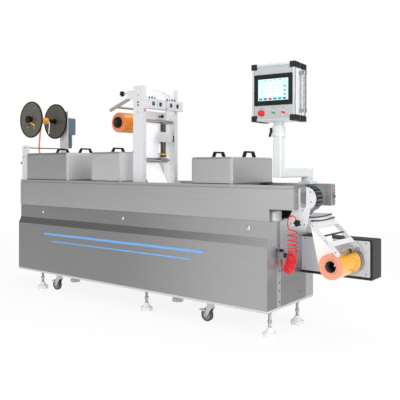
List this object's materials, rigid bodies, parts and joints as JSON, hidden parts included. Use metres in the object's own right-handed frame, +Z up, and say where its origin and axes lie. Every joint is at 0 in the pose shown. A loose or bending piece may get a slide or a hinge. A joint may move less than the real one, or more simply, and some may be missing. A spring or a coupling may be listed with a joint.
{
  "type": "modified atmosphere packaging machine",
  "caption": "Thermoforming film packaging machine: long stainless cabinet with guard hoods, film rolls, trim winder, gantry, swing-arm console and levelling feet.",
  "frame": {"origin": "on the floor under the middle of the overall box", "axes": "+X from the trim winder end towards the film infeed end, +Y from the operator side to the rear, +Z up"},
  "size_m": [3.5589, 0.684, 1.805],
  "materials": {
    "stainless_cabinet": "brushed",
    "stainless_beam": "satin",
    "white_nylon": "moulded",
    "steel_stem": "turned",
    "zinc_fork": "zinc plated",
    "grey_rubber": "rubber",
    "guard_stainless": "brushed",
    "black_plastic": "moulded",
    "head_aluminium": "milled",
    "gantry_steel": "satin",
    "roller_steel": "ground",
    "orange_film": "wound film",
    "clear_film": "film",
    "winder_plate": "powder coat",
    "motor_paint": "cast and painted",
    "smoked_disc": "cast sheet",
    "yellow_hub": "moulded",
    "black_chain": "moulded links",
    "chain_steel": "oiled steel links",
    "drive_housing": "satin",
    "arm_paint": "satin enamel",
    "console_grey": "satin",
    "console_aluminium": "anodised",
    "screen": "glass",
    "buttons": "moulded",
    "black_fitting": "moulded",
    "red_hose": "extruded"
  },
  "bodies": {
    "machine": {"cabinet_frame": "stainless_cabinet", "front_cover": "stainless_cabinet", "rear_cover": "stainless_cabinet", "end_panels": "stainless_cabinet", "side_beams": "stainless_beam", "upper_covers": "stainless_cabinet", "deck_plate": "stainless_beam", "foot_pads": "white_nylon", "foot_stems": "steel_stem", "station_heads": "head_aluminium", "gantry_frame": "gantry_steel", "valve_block": "head_aluminium", "tube_post": "roller_steel", "guide_arm": "gantry_steel", "guide_rollers": "roller_steel", "star_knobs": "black_plastic", "top_film_web": "clear_film", "winder_column": "winder_plate", "gearmotors": "motor_paint", "end_bracket": "winder_plate", "chain_band": "black_chain", "drive_chain": "chain_steel", "unwinder_arms": "winder_plate", "unwind_drive": "drive_housing", "bottom_film_web": "clear_film", "console_base": "arm_paint", "air_regulator": "black_fitting", "hose_fitting": "black_fitting", "hose_coil": "red_hose", "hose_top": "red_hose", "hose_tail": "red_hose"},
    "caster_front_left": {"caster_fork_front_left": "zinc_fork"},
    "wheel_front_left": {"caster_wheel_front_left": "grey_rubber"},
    "caster_rear_left": {"caster_fork_rear_left": "zinc_fork"},
    "wheel_rear_left": {"caster_wheel_rear_left": "grey_rubber"},
    "caster_front_right": {"caster_fork_front_right": "zinc_fork"},
    "wheel_front_right": {"caster_wheel_front_right": "grey_rubber"},
    "caster_rear_right": {"caster_fork_rear_right": "zinc_fork"},
    "wheel_rear_right": {"caster_wheel_rear_right": "grey_rubber"},
    "cutting_hood": {"cutting_guard": "guard_stainless", "cutting_guard_handles": "black_plastic"},
    "sealing_hood": {"sealing_guard": "guard_stainless", "sealing_guard_handles": "black_plastic"},
    "forming_hood": {"forming_guard": "guard_stainless", "forming_guard_handles": "black_plastic"},
    "top_roll": {"top_film_roll": "orange_film", "top_roll_spindle": "black_plastic"},
    "bottom_roll": {"bottom_film_roll": "orange_film", "bottom_roll_chuck": "head_aluminium"},
    "winder": {"winder_discs": "smoked_disc", "winder_spool": "yellow_hub"},
    "console_swing": {"console_arm": "arm_paint", "clamp_lever": "black_plastic"},
    "console": {"console_neck": "arm_paint", "console_housing": "console_grey", "console_frame": "console_aluminium", "console_corners": "black_plastic", "operator_terminal": "screen", "push_buttons": "buttons"}
  },
  "joints": [
    {"name": "caster_swivel_front_left", "type": "hinge", "parent": "machine", "child": "caster_front_left", "pos_m": [-0.9655, -0.262, 0.14], "axis": [0, 0, 1], "continuous": true},
    {"name": "wheel_roll_front_left", "type": "hinge", "parent": "caster_front_left", "child": "wheel_front_left", "pos_m": [-0.9955, -0.262, 0.0555], "axis": [0, 1, 0], "continuous": true},
    {"name": "caster_swivel_rear_left", "type": "hinge", "parent": "machine", "child": "caster_rear_left", "pos_m": [-0.9655, 0.236, 0.14], "axis": [0, 0, 1], "continuous": true},
    {"name": "wheel_roll_rear_left", "type": "hinge", "parent": "caster_rear_left", "child": "wheel_rear_left", "pos_m": [-0.9955, 0.236, 0.0555], "axis": [0, 1, 0], "continuous": true},
    {"name": "caster_swivel_front_right", "type": "hinge", "parent": "machine", "child": "caster_front_right", "pos_m": [0.7395, -0.262, 0.14], "axis": [0, 0, 1], "continuous": true},
    {"name": "wheel_roll_front_right", "type": "hinge", "parent": "caster_front_right", "child": "wheel_front_right", "pos_m": [0.7095, -0.262, 0.0555], "axis": [0, 1, 0], "continuous": true},
    {"name": "caster_swivel_rear_right", "type": "hinge", "parent": "machine", "child": "caster_rear_right", "pos_m": [0.7395, 0.236, 0.14], "axis": [0, 0, 1], "continuous": true},
    {"name": "wheel_roll_rear_right", "type": "hinge", "parent": "caster_rear_right", "child": "wheel_rear_right", "pos_m": [0.7095, 0.236, 0.0555], "axis": [0, 1, 0], "continuous": true},
    {"name": "cutting_guard_lift", "type": "slide", "parent": "machine", "child": "cutting_hood", "axis": [0, 0, 1], "range_m": [0, 0.25]},
    {"name": "sealing_guard_lift", "type": "slide", "parent": "machine", "child": "sealing_hood", "axis": [0, 0, 1], "range_m": [0, 0.1]},
    {"name": "forming_guard_lift", "type": "slide", "parent": "machine", "child": "forming_hood", "axis": [0, 0, 1], "range_m": [0, 0.3]},
    {"name": "top_roll_spin", "type": "hinge", "parent": "machine", "child": "top_roll", "pos_m": [-0.2905, -0.042, 1.495], "axis": [0, 1, 0], "continuous": true},
    {"name": "bottom_roll_spin", "type": "hinge", "parent": "machine", "child": "bottom_roll", "pos_m": [1.6375, -0.042, 0.49], "axis": [0, 1, 0], "continuous": true},
    {"name": "trim_winder_spin", "type": "hinge", "parent": "machine", "child": "winder", "pos_m": [-1.5995, 0.058, 1.588], "axis": [0, 1, 0], "continuous": true},
    {"name": "console_arm_swivel", "type": "hinge", "parent": "machine", "child": "console_swing", "pos_m": [1.2685, 0.201, 1.08], "axis": [0, 0, 1], "range_deg": [-10, 90]},
    {"name": "console_swivel", "type": "hinge", "parent": "console_swing", "child": "console", "pos_m": [1.2685, -0.206, 1.397], "axis": [0, 0, 1], "range_deg": [-90, 90]}
  ]
}
